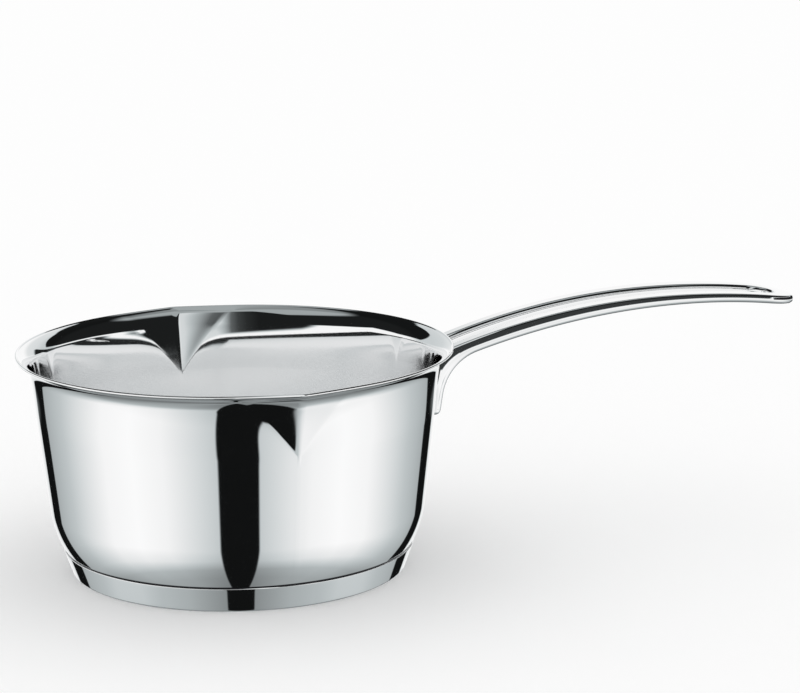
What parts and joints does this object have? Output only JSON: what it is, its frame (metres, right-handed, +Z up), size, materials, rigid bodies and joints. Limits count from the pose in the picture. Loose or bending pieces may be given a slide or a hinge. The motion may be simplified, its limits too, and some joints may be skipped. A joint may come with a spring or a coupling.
{
  "type": "milk pan",
  "caption": "Small polished steel saucepan with a flared rim, two opposite pouring lips, an encapsulated base and an open cast loop handle.",
  "frame": {"origin": "centre of the base's underside, on the surface that the pan stands on", "axes": "+X along the handle, away from the bowl; +Z up; the two pouring lips point along +Y and -Y"},
  "size_m": [0.326, 0.175, 0.0961],
  "materials": {
    "polished_steel": "mirror-polished stainless steel",
    "heat_core": "plain rolled aluminium, hidden",
    "base_steel": "polished side, finely turned underside",
    "cast_handle": "mirror-polished cast stainless steel",
    "weld_steel": "spot-weld nuggets, hidden"
  },
  "bodies": {
    "root": {"pan_body": "polished_steel", "core_disc": "heat_core", "base_cap": "base_steel", "handle": "cast_handle", "spot_welds": "weld_steel"}
  },
  "joints": []
}
